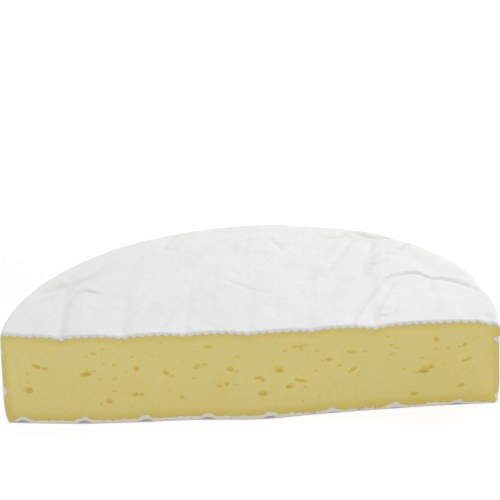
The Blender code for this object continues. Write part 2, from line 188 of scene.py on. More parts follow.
def of_one(operation):
    return lambda self: self.work(operation, self)


def of_two(operation):
    return lambda self, other: self.work(operation, self, other)


def turned_round(operation):
    """The same for a value on the right of its operator."""
    return lambda self, other: self.work(operation, other, self)


class Value:
    """A socket of a node tree. Sums and products on it add the nodes that work them out."""

    def __init__(self, tree, socket):
        self.tree = tree
        self.socket = socket

    def is_vector(self):
        return self.socket.type in {"VECTOR", "RGBA"}

    def work(self, operation, *terms):
        """An operation on its terms, of vectors where this value is one."""
        kind = "ShaderNodeVectorMath" if self.is_vector() else "ShaderNodeMath"
        return self.tree.add(kind, {"operation": operation}, dict(enumerate(terms)))

    __add__ = __radd__ = of_two("ADD")
    __sub__ = of_two("SUBTRACT")
    __rsub__ = turned_round("SUBTRACT")
    __truediv__ = of_two("DIVIDE")
    __rtruediv__ = turned_round("DIVIDE")
    __pow__ = of_two("POWER")
    __gt__ = of_two("GREATER_THAN")
    __lt__ = of_two("LESS_THAN")
    __abs__ = of_one("ABSOLUTE")
    sin = of_one("SINE")
    cos = of_one("COSINE")
    exp = of_one("EXPONENT")
    sqrt = of_one("SQRT")
    sign = of_one("SIGN")
    at_least = of_two("MAXIMUM")
    at_most = of_two("MINIMUM")

    def __mul__(self, other):
        by_number = not isinstance(other, tuple) and not (isinstance(other, Value) and other.is_vector())
        if self.is_vector() and by_number:
            return self.tree.add("ShaderNodeVectorMath", {"operation": "SCALE"}, {0: self, "Scale": other})
        return self.work("MULTIPLY", self, other)

    __rmul__ = __mul__

    def __neg__(self):
        return self * -1.0

    def dot(self, other):
        return self.work("DOT_PRODUCT", self, other).other("Value")

    def wrapped(self, half):
        """The value brought into -half to half by whole turns of twice half."""
        return self.work("WRAP", self, half, -half)

    def eased(self, low, high):
        """0 below low, 1 above high, and smooth between them."""
        return self.tree.add("ShaderNodeMapRange", {"interpolation_type": "SMOOTHSTEP"},
                             {"Value": self, "From Min": low, "From Max": high, "To Min": 0.0, "To Max": 1.0})

    def hump(self, half_width):
        """1 at zero, falling away to both sides as a bell of that half width."""
        share = self / half_width
        return (-(share * share)).exp()

    def as_number(self):
        """The brightness of a grey colour."""
        return self.tree.add("ShaderNodeMath", {"operation": "ADD"}, {0: self, 1: 0.0})

    def other(self, name):
        """Another output of the node that made this value."""
        return Value(self.tree, self.socket.node.outputs[name])

    def parts(self):
        split = self.tree.add("ShaderNodeSeparateXYZ", {}, {0: self})
        return split, split.other("Y"), split.other("Z")


class Tree:
    """A node tree that is written as expressions on values."""

    def __init__(self, nodes):
        self.nodes = nodes

    def add(self, kind, settings=None, sockets=None, out=0):
        """One output of a node of a kind, with its settings and then its sockets filled in."""
        node = self.nodes.nodes.new(kind)
        for name, value in (settings or {}).items():
            if name == "stops":
                set_stops(node.color_ramp, value)
            elif name == "stepped":
                node.color_ramp.interpolation = "CONSTANT"
            else:
                setattr(node, name, value)
        self.feed(node, sockets or {})
        return Value(self, node.outputs[out])

    def feed(self, node, sockets):
        """Give a node's sockets, by name or number, their constants and links."""
        for key, value in sockets.items():
            if isinstance(value, (Value, list)):
                for one in value if isinstance(value, list) else [value]:
                    self.nodes.links.new(one.socket, node.inputs[key])
            else:
                node.inputs[key].default_value = value

    def vector(self, x=0.0, y=0.0, z=0.0):
        return self.add("ShaderNodeCombineXYZ", {}, {0: x, 1: y, 2: z})

    def noise(self, place, scale, detail=2.0, roughness=0.5, distortion=0.0):
        """Noise from about -1 to 1 around a place."""
        made = self.add("ShaderNodeTexNoise", {"noise_dimensions": "3D"},
                        {"Vector": place, "Scale": scale, "Detail": detail, "Roughness": roughness,
                         "Distortion": distortion})
        return made * 2.0 - 1.0

    def blend(self, factor, first, second):
        """A colour: first where the factor is 0, second where it is 1."""
        first, second = ((*c, 1.0) if isinstance(c, tuple) else c for c in (first, second))
        return self.add("ShaderNodeMix", {"data_type": "RGBA"}, {0: factor, 6: first, 7: second}, out=2)


def set_stops(ramp, stops):
    """Give a colour ramp its stops, each a place and a colour."""
    while len(ramp.elements) > 1:
        ramp.elements.remove(ramp.elements[-1])
    for index, (place, colour) in enumerate(stops):
        stop = ramp.elements[0] if index == 0 else ramp.elements.new(place)
        stop.position = place
        stop.color = colour


def shape_tree(name, inputs):
    """A Geometry Nodes tree with named inputs; gives the tree and its inputs as values by name."""
    group = bpy.data.node_groups.new(name, "GeometryNodeTree")
    group.interface.new_socket(name="Shape", in_out="OUTPUT", socket_type="NodeSocketGeometry")
    for label, value in inputs.items():
        if isinstance(value, bpy.types.Object):
            kind = "NodeSocketObject"
        elif isinstance(value, bpy.types.Material):
            kind = "NodeSocketMaterial"
        else:
            kind = "NodeSocketFloat"
        group.interface.new_socket(name=label, in_out="INPUT", socket_type=kind)
    tree = Tree(group)
    source = group.nodes.new("NodeGroupInput")
    given = {label: Value(tree, source.outputs[label]) for label in inputs}
    return tree, given


def finish_tree(tree, geometry, material):
    """Realize what is left of instances, set the material and give the tree its output."""
    real = tree.add("GeometryNodeRealizeInstances", {}, {0: geometry})
    real = tree.add("GeometryNodeSetMaterial", {}, {"Geometry": real, "Material": material})
    sink = tree.nodes.nodes.new("NodeGroupOutput")
    tree.nodes.links.new(real.socket, sink.inputs[0])


def new_object(name, data):
    made = bpy.data.objects.new(name, data)
    bpy.context.scene.collection.objects.link(made)
    return made


def plain_mesh(worked):
    """The mesh that an object's modifiers leave."""
    graph = bpy.context.evaluated_depsgraph_get()
    return bpy.data.meshes.new_from_object(worked.evaluated_get(graph))


def grow(name, tree, inputs):
    """The plain mesh object that a tree makes with these inputs."""
    maker = new_object(name + "_maker", bpy.data.meshes.new(name + "_maker"))
    modifier = maker.modifiers.new("grow", "NODES")
    modifier.node_group = tree.nodes
    for item in tree.nodes.interface.items_tree:
        if item.in_out == "INPUT":
            modifier[item.identifier] = inputs[item.name]
    mesh = plain_mesh(maker)
    bpy.data.objects.remove(maker, do_unlink=True)
    mesh.name = name
    return new_object(name, mesh)


def place_of_points(tree):
    return tree.add("GeometryNodeInputPosition")


def named(tree, label):
    """A vector that the points hold by name."""
    return tree.add("GeometryNodeInputNamedAttribute", {"data_type": "FLOAT_VECTOR"}, {"Name": label})


def at_nearest(tree, points, place):
    """A function that reads a field of an object's points at the one nearest to a place."""
    cloud = tree.add("GeometryNodeObjectInfo", {}, {"Object": points}, out="Geometry")
    nearest = tree.add("GeometryNodeSampleNearest", {"domain": "POINT"},
                       {"Geometry": cloud, "Sample Position": place})
    return lambda field: tree.add("GeometryNodeSampleIndex", {"data_type": "FLOAT_VECTOR", "domain": "POINT"},
                                  {"Geometry": cloud, "Value": field, "Index": nearest})


def cut_away(tree, body, tool):
    return tree.add("GeometryNodeMeshBoolean", {"operation": "DIFFERENCE", "solver": BODY_SOLVER},
                    {"Mesh 1": body, "Mesh 2": tool})


def marked(tree, shape, label, value):
    """The shape with a number at each point, for its finish to read."""
    return tree.add("GeometryNodeStoreNamedAttribute", {"data_type": "FLOAT", "domain": "POINT"},
                    {"Geometry": shape, "Name": label, "Value": value})


# ---- the wheel's form

def smooth_line(values, share):
    """The value at a share from 0 to 1 of a smooth line through evenly spaced values."""
    spans = len(values) - 1
    place = share * spans
    index = min(max(int(place), 0), spans - 1)
    part = min(max(place - index, 0.0), 1.0)
    before, start, end, after = (values[min(max(index + step, 0), spans)] for step in (-1, 0, 1, 2))
    return 0.5 * (2 * start + (end - before) * part
                  + (2 * before - 5 * start + 4 * end - after) * part ** 2
                  + (3 * start - before - 3 * end + after) * part ** 3)


def disc_place(x, y):
    """The half box's plan drawn as a half disc: share of the radius, and the two unit sides of its angle."""
    flank = abs(x)
    far = flank.at_least(y)
    turn = flank.at_most(y) / far.at_least(TINY) * (math.pi / 4)
    on_flank = flank > y
    angle = on_flank * turn + (1 - on_flank) * (math.pi / 2 - turn)
    return far, angle.cos() * x.sign(), angle.sin()


def rounded(r, z, corner_r, corner_z, radius_sign):
    """Draw the square corner beyond (corner_r, corner_z) as a quarter circle."""
    past_r = (r - corner_r).at_least(0.0)
    past_z = ((z - corner_z) * radius_sign).at_least(0.0)
    length = (past_r * past_r + past_z * past_z).sqrt().at_least(TINY)
    pull = past_r.at_least(past_z) / length
    inside = (past_r * past_z) > 0.0
    pull = inside * pull + (1 - inside)
    return r - past_r + past_r * pull, z - (past_z - past_z * pull) * radius_sign


def out_of_round(across, back):
    """How far the rim stands off its circle, from the two unit sides of its angle."""
    cosines = [1.0, across]
    sines = [0.0, back]
    for _ in OUTLINE_WAVES[1:]:
        cosines.append(2 * across * cosines[-1] - cosines[-2])
        sines.append(2 * across * sines[-1] - sines[-2])
    offset = 0.0
    for lobes, cosine, sine in OUTLINE_WAVES:
        offset = cosines[lobes] * cosine + sines[lobes] * sine + offset
    for angle, half, height in RIM_DENTS:
        turn = math.radians(angle)
        towards = across * math.cos(turn) + back * math.sin(turn)
        offset = ((towards - 1) * (2 / math.radians(half) ** 2)).exp() * height + offset
    return offset


def bow_at(x):
    """How far the cut bows out towards -Y at an X."""
    share = (x / WHEEL_RADIUS + 1) * (math.pi / 2)
    bow = 0.0
    for wave, height in enumerate(BOW_WAVES, start=1):
        bow = (share * wave).sin() * height + bow
    return bow


def belly_at(x, level):
    """How far the cut bellies out beyond its bow, at an X and a share of the height."""
    return (x - BELLY_AT).hump(BELLY_HALF) * (BELLY[1] + (BELLY[0] - BELLY[1]) * level)


def notch(distance):
    """The notch that a bar leaves at the cut: 1 at its middle, falling away in two slopes."""
    return ((TOP_BAR_BLUNT - (distance * distance + TOP_BAR_BLUNT ** 2).sqrt()) / TOP_BAR_HALF).exp()


def groove(distance):
    """The groove of a bar of the rack in the base: 1 at its middle, with a flat top and steep flanks."""
    share = distance / BASE_BAR_HALF
    square = share * share
    return 1 / (square * square + 1)


def square_hump(distance, half):
    """1 at the middle, with a flat top and almost upright flanks: a patch of thicker or thinner rind."""
    share = abs(distance / half)
    return 1 / (share ** SIDE_PATCH_SIDES + 1)


def over_bars(tree, x, first, heights, form):
    """One form at each bar, each as high as its own height in mm."""
    count = len(heights)
    stops = [(step / count, (height, height, height, 1.0)) for step, height in enumerate(heights)]
    reach = (x - (first - BAR_PITCH / 2)) / (count * BAR_PITCH)
    height = tree.add("ShaderNodeValToRGB", {"stops": stops, "stepped": True}, {0: reach})
    return form((x - first).wrapped(BAR_PITCH / 2)) * height.as_number() * MM


def teeth(tree, x):
    """The pointed teeth of the paste under the rind, 1 at the tallest tips and 0 between them."""
    distance = (x - TOOTH_AT).wrapped(TOOTH_PITCH / 2)
    unlike = tree.noise(tree.vector(x, 0.0, 2.2), 170.0, 1.0) * 0.55 + 0.86
    return ((TOOTH_BLUNT - (distance * distance + TOOTH_BLUNT ** 2).sqrt()) / TOOTH_HALF).exp() * unlike


def fold_relief(tree, lines, x, y):
    """The height that the nearest of the fold lines gives the top at a place, and how deep its crease is."""
    flat = tree.vector(x, y, 0.0)
    read = at_nearest(tree, lines, flat)
    off = flat - read(place_of_points(tree))
    half, valley, step = read(named(tree, "sizes")).parts()
    across = off.dot(read(named(tree, "side"))) / half
    slope = across / (across * across + 1).sqrt()
    crease = valley * across.hump(1.0)
    return slope * step * across.hump(STEP_REACH) * 0.5 - crease, crease.at_least(0.0)


def top_form(tree, given, x, y):
    """The top's relief in the large, which rind and paste share: bars, broad folds, the trough in the rim."""
    run = (y.at_least(-TOP_BAR_WHOLE) * (-1 / TOP_BAR_RUN) - TOP_BAR_WHOLE / TOP_BAR_RUN).exp()
    waver = tree.noise(tree.vector(x * 4, y, 3.1), 30.0, 1.0) * (1.3 * MM) * (1 - run)
    at_cut = over_bars(tree, x, TOP_BAR_FROM, [bar[0] for bar in TOP_BARS], notch)
    behind = over_bars(tree, x + waver, TOP_BAR_FROM, [bar[1] for bar in TOP_BARS],
                       lambda far: far.hump(TOP_TRACE_HALF))
    behind = behind * (1 - y.eased(*TRACE_FADES) * 0.85)
    bars = (behind + (at_cut - behind) * run) * given["Bar Depth"]
    broad = tree.noise(tree.vector(x, y, 0.4), 20.0, 1.0) * (0.55 * MM)
    reach = (x * x + y * y).sqrt()
    trough = (reach - (WHEEL_RADIUS - TROUGH_IN)).hump(TROUGH_HALF) * TROUGH_DEPTH
    corner = x.eased(CORNER_FROM, CORNER_FROM + CORNER_RUN) * (1 - y.eased(0.0, CORNER_BACK)) * CORNER_DROP
    return broad - bars - trough - corner


def skin_relief(tree, given, x, y):
    """What only the rind's face shows: creases, swells, the facets of a cloth, the mesh's print."""
    creases = 0.0
    for label in FOLD_LAYERS:
        creases = fold_relief(tree, given[label], x, y)[0] + creases
    place = tree.vector(x, y, 0.7)
    facets = abs(tree.noise(place, 48.0, 1.0, 0.5, 0.6)) * (-0.75 * MM) + 0.15 * MM
    crumple = abs(tree.noise(place, 130.0, 2.0, 0.5, 0.4)) * (-0.24 * MM)
    print_x = (x * (math.tau / TOOTH_PITCH)).cos()
    print_y = (y * (math.tau / TOOTH_PITCH)).cos()
    patchy = tree.noise(place, 30.0, 0.0) + 0.6
    mesh_print = (print_x * 0.7 + print_y * 0.3) * patchy * (0.03 * MM)
    drawn_down = y.hump(1.1 * MM) * CUT_EDGE_DROP
    lifted = teeth(tree, x) * TOOTH_BUMP * (1 - y.eased(0.5 * MM, 3 * MM))
    return creases + facets + crumple + mesh_print + lifted - drawn_down


def crease_mark(tree, given):
    """How deep the creases of the top are at a point, in mm."""
    x, y, _z = place_of_points(tree).parts()
    depth = 0.0
    for label in FOLD_LAYERS:
        depth = fold_relief(tree, given[label], x - WHEEL_AXIS_X, y - WHEEL_AXIS_Y)[1] + depth
    return depth / MM


def side_relief(tree, x, y, z):
    """How far the side swells and dimples."""
    place = tree.vector(x, y, z * 0.6)
    return tree.noise(place, 42.0, 1.0) * (0.45 * MM) + tree.noise(place, 150.0, 1.0) * (0.12 * MM)


def wheel_form(tree, given, cells, crowding, inset, front):
    """A closed half wheel on a fine grid. inset tells how far each face lies inside the rind's own."""
    across_cells, back_cells, up_cells = cells
    box = tree.add("GeometryNodeMeshCube", {}, {"Size": (2.0, 1.0, 1.0), "Vertices X": across_cells,
                                                "Vertices Y": back_cells, "Vertices Z": up_cells})
    place = place_of_points(tree)
    u, v, w = place.parts()
    v = (v + 0.5) ** crowding
    w = w + 0.5
    share, across, back = disc_place(u, v)
    side = inset["side"](across, w * WHEEL_HEIGHT)
    radius = given["Radius"] - side
    height = given["Height"]
    at_cut = (across * across) ** CUT_FADE
    shoulder = given["Shoulder"] + (SHOULDER_AT_CUT - given["Shoulder"]) * at_cut - side
    edge = given["Lower Edge"]
    r = share * radius
    z = w * height
    r, z = rounded(r, z, radius - shoulder, height - shoulder, 1.0)
    r, z = rounded(r, z, radius - edge, edge, -1.0)
    level = (z / height).at_least(TINY)
    along_bulge = level ** (math.log(0.5) / math.log(BULGE_HEIGHT)) * 2 - 1
    bulge = (1 - (along_bulge * along_bulge) ** 2.0) * given["Side Bulge"]
    lean = (level - LEAN_FROM) * across * SIDE_LEAN
    foot = (1 - z / FOOT_HEIGHT).at_least(0.0)
    rim = share ** RIM_FADE
    r = r + (bulge + lean - foot * foot * FOOT_PULL + out_of_round(across, back)) * rim
    x = r * across
    y = r * back
    swell = side_relief(tree, x, y, z) * share ** SWELL_FADE * (level * (1 - level) * 4).at_least(0.0)
    x = x + swell * across
    y = y + swell * back
    top = top_form(tree, given, x, y) + inset["top"](x, y)
    base = inset["base"](x, y)
    z = z + top * level ** TOP_FADE + base * (1 - level).at_least(0.0) ** BASE_FADE
    z = z - x / WHEEL_RADIUS * given["Height Lean"] * level
    cut = 1 - v
    waver = tree.noise(tree.vector(x, 0.0, z * 1.6), 70.0, 2.0) * KNIFE_WAVER + front
    bow = bow_at(x) * cut + belly_at(x, level) * cut ** BELLY_FADE
    y = y - bow * cut - waver * (v < 0.001)
    moved = tree.vector(x + WHEEL_AXIS_X, y + WHEEL_AXIS_Y, z)
    return tree.add("GeometryNodeSetPosition", {}, {"Geometry": box, "Position": moved})


def paste_inset(tree, tuck):
    """How far the paste lies inside the rind, with its teeth towards it."""

    def side(across, height):
        ragged = tree.noise(tree.vector(across * 0.1, 0.0, height), 420.0, 2.0, 0.6)
        thick = ragged * (0.3 * MM) + (SIDE_RIND - (SIDE_TUCK if tuck else 0.0))
        level = height + ragged * (0.5 * MM)
        for end, middle, half, extra in SIDE_PATCHES:
            patch = square_hump(level - middle * MM, half * MM) * (across * end).eased(*PATCH_REACH)
            thick = patch * (extra * MM) + thick
        return thick

    def top(x, y):
        wander = tree.noise(tree.vector(x, y, 9.0), 150.0, 3.0, 0.8) * (0.3 * MM)
        return teeth(tree, x) * TOOTH_HEIGHT + wander - (TOP_RIND - tuck) - y.eased(0.0, 6 * MM) * RIND_BEHIND

    def base(x, y):
        wander = tree.noise(tree.vector(x, y, 5.0), 120.0, 1.0) * (0.7 * MM)
        ragged = tree.noise(tree.vector(x, y, 2.0), 360.0, 3.0, 0.8) * (1.5 * MM)
        bars = over_bars(tree, x, BASE_BAR_FROM, [bar[1] for bar in BASE_BARS], groove)
        mesh_print = abs((x * (math.pi / TOOTH_PITCH)).cos()) * (0.4 * MM)
        left = (1 - x.eased(-45 * MM, -15 * MM)) * BASE_RIND_LEFT
        for middle, half, extra in BASE_RIND_MORE:
            left = (x - middle * MM).hump(half * MM) * (extra * MM) + left
        thick = (wander + ragged + mesh_print + left + BASE_RIND).at_least(0.35 * MM)
        thinned = 1 - abs(x).eased(BASE_RIND_ENDS, BASE_RIND_ENDS + 2.5 * MM) * 0.8
        return bars + thick * thinned - tuck

    return {"side": side, "top": top, "base": base}


def rind_inset(tree, given):
    """The rind's own face: the folds of its top and the grooves of its base."""

    def top(x, y):
        return skin_relief(tree, given, x, y)

    def base(x, y):
        return over_bars(tree, x, BASE_BAR_FROM, [bar[0] for bar in BASE_BARS], groove)

    return {"side": lambda across, height: 0.0, "top": top, "base": base}


# ---- folds and eyes

def point_object(name, points, attributes):
    """An object of bare points, in metres, each with named vectors."""
    mesh = bpy.data.meshes.new(name)
    mesh.from_pydata(points, [], [])
    for label, vectors in attributes.items():
        layer = mesh.attributes.new(label, "FLOAT_VECTOR", "POINT")
        layer.data.foreach_set("vector", [part for vector in vectors for part in vector])
    return new_object(name, mesh)


def fold_points(fold):
    """Evenly spaced points of a fold's line in mm, each with the share of the line behind it."""
    length = sum(math.dist(start, end) for start, end in zip(fold.points, fold.points[1:]))
    count = max(8, round(length / FOLD_POINT_GAP))
    for index in range(count + 1):
        share = index / count
        yield share, tuple(smooth_line([point[axis] for point in fold.points], share) for axis in (0, 1))


def fold_object(name, folds):
    """The lines of many folds as points that know their left side and their sizes."""
    places, sides, sizes = [], [], []
    for fold in folds:
        line = list(fold_points(fold))
        for index, (share, (x, y)) in enumerate(line):
            before = line[max(index - 1, 0)][1]
            after = line[min(index + 1, len(line) - 1)][1]
            run = Vector((after[0] - before[0], after[1] - before[1], 0.0)).normalized()
            taper = min(1.0, 1.5 * math.sin(math.pi * share))
            places.append((x * MM, y * MM, 0.0))
            sides.append((-run.y, run.x, 0.0))
            sizes.append((fold.half * MM, fold.valley * MM * taper, fold.step * MM * taper))
    return point_object(name, places, {"side": sides, "sizes": sizes})


def in_layers(folds):
    """The folds dealt out so that those of one layer keep clear of each other."""
    layers = {label: [] for label in FOLD_LAYERS}
    for fold in folds:
        own = [place for _share, place in fold_points(fold)]
        room = {}
        for label, laid in layers.items():
            gaps = (math.dist(here, there) for points in laid for here in own for there in points)
            room[label] = min(gaps, default=math.inf)
        label = next((label for label in FOLD_LAYERS if room[label] > FOLD_CLEAR), max(room, key=room.get))
        layers[label].append(own)
        yield label, fold


def bent_fold(draw, x, y, length, turn, half, valley):
    """A short fold from a place, bending a little as it goes."""
    points = [(x, y)]
    for _ in range(3):
        turn += draw.uniform(-22, 22)
        x += length / 3 * math.cos(math.radians(turn))
        y += length / 3 * math.sin(math.radians(turn))
        points.append((x, y))
    return Fold(half, valley, 0.0, tuple(points))


def scattered_folds():
    """Fine wrinkles beside the second bar, and soft folds over the middle and back of the top."""
    draw = random.Random(FOLD_SEED)
    made = []
    for index in range(WRINKLES):
        x = -58 + 2.2 * index + draw.uniform(-1, 1)
        y = draw.uniform(1, 22)
        length, turn, valley = draw.uniform(8, 15), draw.uniform(40, 62), draw.uniform(0.15, 0.3)
        made.append(bent_fold(draw, x, y, length, turn, 0.9, valley))
    for index in range(HIDDEN_FOLDS):
        x = -48 + 11 * index + draw.uniform(-4, 4)
        y = draw.uniform(30, 92)
        length, turn, valley = draw.uniform(16, 34), draw.uniform(30, 150), draw.uniform(0.2, 0.5)
        made.append(bent_fold(draw, x, y, length, turn, 1.4, valley))
    return tuple(made)


# Eyes that are large enough to count one by one, as they lie on the cut: X and Z of the middle, width,
# height and turn in degrees, in mm. Eyes of more than one lobe have a line for each.
DEEP_EYES = (
    (-107.5, 18, 4.3, 3, 0), (-102.5, 31, 4, 2.1, -20), (-98.5, 30, 2.7, 1.5, -5),
    (-78.5, 27, 5.6, 2.7, 14), (-68.5, 12, 3.1, 2, -38), (-54, 29, 2.4, 2.3, 10),
    (-40, 26, 3.5, 1.9, -35), (-55.5, 15.3, 3, 1.8, -8), (-52.5, 15, 2.4, 1.5, 6),
    (-33, 12.5, 2.2, 1.7, -30), (-9, 27, 2.9, 1.9, 0), (-14.5, 18.3, 2.4, 1.5, 0),
    (-11.3, 19.3, 2.3, 1.7, 20), (4, 22, 3, 1.5, 0), (6, 21, 2.5, 1.7, -35), (6, 13.5, 4.5, 2.2, 0),
    (14.5, 25.4, 3.6, 2.6, -8), (19, 16.4, 3.3, 2.1, 5), (23, 19.3, 2.5, 1.4, -20),
    (25, 18.6, 2.8, 1.6, -10), (38.5, 29, 2.8, 1.5, 0), (50, 23, 3.4, 1.3, 18), (84, 19.8, 5.8, 3.6, 8),
    (87, 21.3, 3.1, 2, 8), (90, 35.7, 2.5, 2.2, -10), (103.5, 32, 2.4, 1.7, 15),
    (105, 24.5, 2.5, 1.8, 22), (102.8, 23.7, 1.9, 1, 30), (101, 10.5, 3, 1.6, 12),
    (78.5, 7.2, 3.4, 1.8, -4),
)
SHALLOW_EYES = (
    (-75, 28.3, 3, 1.1, 14), (-74.5, 38, 3.8, 1.8, -18), (-77.5, 36.5, 1.7, 1.5, 0),
    (-37.5, 24, 3.6, 1.5, -20), (-25, 29, 3.8, 2.6, 30), (-21.5, 30, 3.2, 1.7, 0),
    (-19, 39.5, 4.3, 1.6, -8), (-6.5, 25.7, 3.1, 1.1, 0), (-7, 18.7, 3.4, 0.9, -6),
    (12.5, 27.5, 1.4, 1.3, 0), (22.5, 37, 3.8, 1.4, 12), (26, 37.4, 4.5, 1.5, 8),
    (25.5, 35.4, 3.3, 1.1, -38), (36, 28.6, 2.2, 0.7, 15), (50, 32, 5.3, 1.8, -14), (56, 32, 3, 0.9, 0),
    (48, 21.6, 1.2, 2, 15), (43.5, 25.4, 2.2, 1.8, -30), (80.5, 18.8, 2.9, 1.2, 0),
    (101, 31.3, 2.1, 1, 10), (71, 32.5, 2.9, 1.2, -8), (68.5, 34, 2.2, 0.9, 0),
    (69, 29.4, 2.1, 1.3, 20), (90, 30.8, 2.3, 1, 25), (96, 31, 2.1, 1.2, 15), (-5.7, 33.4, 2.6, 1, 0),
    (-26.8, 22.8, 1.8, 1.4, 0), (-69.4, 32.5, 2, 1.3, 5), (-64.7, 31.3, 2, 1.3, -30),
    (-64.6, 24, 2.2, 1.6, 0), (-65.4, 17.4, 2.6, 1.4, -15), (17.6, 35.3, 1.9, 1.4, 0),
    (33, 34, 2, 1, -8), (74, 21, 2, 1.1, 0),
)
LARGE_EYE_WIDTH = 2.6  # mm; from this on an eye is of finer mesh
SMALL_EYES = 34
SMALL_EYE_WIDTH = (0.7, 1.7)  # mm
EYE_MARGIN = 5  # mm between a small eye and the rind
EYE_GAP = 1.1
DISH = 0.45  # share of a ball's half depth that lies in the paste
SWOLLEN = (1 - (1 - DISH) ** 2) ** -0.5  # how much wider the ball is than the eye's lip
DEEP = 0.18  # depth of a deep eye, as a share of its height
SHALLOW = 0.08
EYE_HALO = 0.15 * MM  # how far an eye's colour reaches past its lip
EYE_SEED = 11
EYE_MARK = "off_eye"  # the attributes that tell the paste's colour of its eyes and where painted shade falls in them
EYE_SHADE = "eye_shade"
PALER = 0.48  # how much paler a flat eye's colour and painted shade would be than a deep one's


def plain_cut(x, level):
    """How far the cut stands out as a number, at an X in metres and a share of the height."""
    share = (x / WHEEL_RADIUS + 1) * math.pi / 2
    bow = sum(height * math.sin(share * wave) for wave, height in enumerate(BOW_WAVES, start=1))
    belly = BELLY[1] + (BELLY[0] - BELLY[1]) * level
    return bow + belly * math.exp(-((x - BELLY_AT) / BELLY_HALF) ** 2)


def all_eyes():
    """Every eye of the cut with its depth: the counted ones, then small ones spread clear of each other."""
    draw = random.Random(EYE_SEED)
    eyes = [(*eye, DEEP) for eye in DEEP_EYES] + [(*eye, SHALLOW) for eye in SHALLOW_EYES]
    taken = [(x, z, wide / 2) for x, z, wide, *_ in eyes]
    reach = WHEEL_RADIUS / MM - EYE_MARGIN
    ceiling = WHEEL_HEIGHT / MM - EYE_MARGIN
    small = 0
    while small < SMALL_EYES:
        wide = draw.uniform(*SMALL_EYE_WIDTH)
        x = draw.uniform(-reach, reach)
        z = draw.uniform(EYE_MARGIN, ceiling)
        clear = wide / 2 + EYE_GAP
        if all(math.hypot(x - other_x, z - other_z) > half + clear for other_x, other_z, half in taken):
            taken.append((x, z, wide / 2))
            eyes.append((x, z, wide, wide * draw.uniform(0.5, 0.95), draw.uniform(-35, 35), SHALLOW))
            small += 1
    return eyes


def eye_object(name, eyes):
    """The middles of the eyes on the cut, each with its half sizes and its turn."""
    places, halves, turns = [], [], []
    for x, z, wide, high, turn, depth in eyes:
        reach = high * depth / DISH * MM
        out = plain_cut(x * MM, z * MM / WHEEL_HEIGHT) + reach * (1 - DISH)
        places.append((x * MM + WHEEL_AXIS_X, WHEEL_AXIS_Y - out, z * MM))
        halves.append((wide / 2 * SWOLLEN * MM, reach, high / 2 * SWOLLEN * MM))
        turns.append((0.0, -math.radians(turn), 0.0))
    return point_object(name, places, {"halves": halves, "turn": turns})


def eye_balls(tree, points, detail):
    """An uneven ball at every eye."""
    spots = tree.add("GeometryNodeObjectInfo", {}, {"Object": points}, out="Geometry")
    ball = tree.add("GeometryNodeMeshIcoSphere", {}, {"Radius": 1.0, "Subdivisions": detail})
    turned = tree.add("FunctionNodeEulerToRotation", {}, {"Euler": named(tree, "turn")})
    halves = named(tree, "halves")
    balls = tree.add("GeometryNodeInstanceOnPoints", {},
                     {"Points": spots, "Instance": ball, "Rotation": turned, "Scale": halves})
    balls = tree.add("GeometryNodeRealizeInstances", {}, {0: balls})
    wide, _deep, high = halves.parts()
    place = place_of_points(tree)
    push_x = tree.noise(place, 800.0, 3.0, 0.75) * wide * 0.5
    push_z = tree.noise(place + (7.0, 3.0, 1.0), 800.0, 3.0, 0.75) * high * 0.85
    push = tree.vector(push_x, 0.0, push_z)
    return tree.add("GeometryNodeSetPosition", {}, {"Geometry": balls, "Offset": push})


def off_eye(tree, points):
    """How far a point lies from the middle of the nearest eye, 1 at its lip, and how much painted shade the
    eye gets there, most at its roof. A shallow eye is paler in both."""
    here = place_of_points(tree)
    read = at_nearest(tree, points, here)
    across, _off, up = (here - read(place_of_points(tree))).parts()
    wide, deep, high = read(named(tree, "halves")).parts()
    paler = (1 - deep / high * (DISH * SWOLLEN / (2 * DEEP))) * PALER
    turn = read(named(tree, "turn")).parts()[1]
    along = (across * turn.cos() - up * turn.sin()) / (wide / SWOLLEN + EYE_HALO)
    over = (across * turn.sin() + up * turn.cos()) / (high / SWOLLEN + EYE_HALO)
    return ((along * along + over * over).sqrt() + paler).at_most(3.0), over.eased(-0.5, 0.6) - paler * 6.0


# ---- pieces

def wheel_inputs(material):
    """The wheel's sizes, which every tree that draws it takes by name."""
    return {
        "Radius": WHEEL_RADIUS,
        "Height": WHEEL_HEIGHT,
        "Height Lean": HEIGHT_LEAN,
        "Shoulder": SHOULDER,
        "Lower Edge": LOWER_EDGE,
        "Side Bulge": SIDE_BULGE,
        "Bar Depth": 1.0,
        "Finish": material,
    }


def thin_hidden(piece):
    """Take most triangles out of the base's flat middle and of the faces where rind and paste meet."""
    middle = Vector((WHEEL_AXIS_X, WHEEL_AXIS_Y + WHEEL_RADIUS / 3, WHEEL_HEIGHT / 2))
    inside_out = piece.name == "rind"
    hidden = []
    for vertex in piece.data.vertices:
        place = vertex.co
        if place.y < WHEEL_AXIS_Y + HIDDEN_FROM:
            continue
        rim = WHEEL_RADIUS - math.hypot(place.x - WHEEL_AXIS_X, place.y - WHEEL_AXIS_Y)
        inner = not inside_out or vertex.normal.dot(place - middle) < 0
        flat = place.z < HIDDEN_BELOW and rim > HIDDEN_WITHIN
        if inner or flat:
            hidden.append(vertex.index)
    group = piece.vertex_groups.new(name="hidden")
    group.add(hidden, 1.0, "REPLACE")
    thin = piece.modifiers.new("thin", "DECIMATE")
    faces = sum(len(face.vertices) - 2 for face in piece.data.polygons)
    thin.ratio = 1 - 2 * len(hidden) * (1 - HIDDEN_KEPT) / faces
    thin.vertex_group = group.name
    mesh = plain_mesh(piece)
    piece.modifiers.clear()
    piece.vertex_groups.clear()
    piece.data = mesh
    mesh.name = piece.name


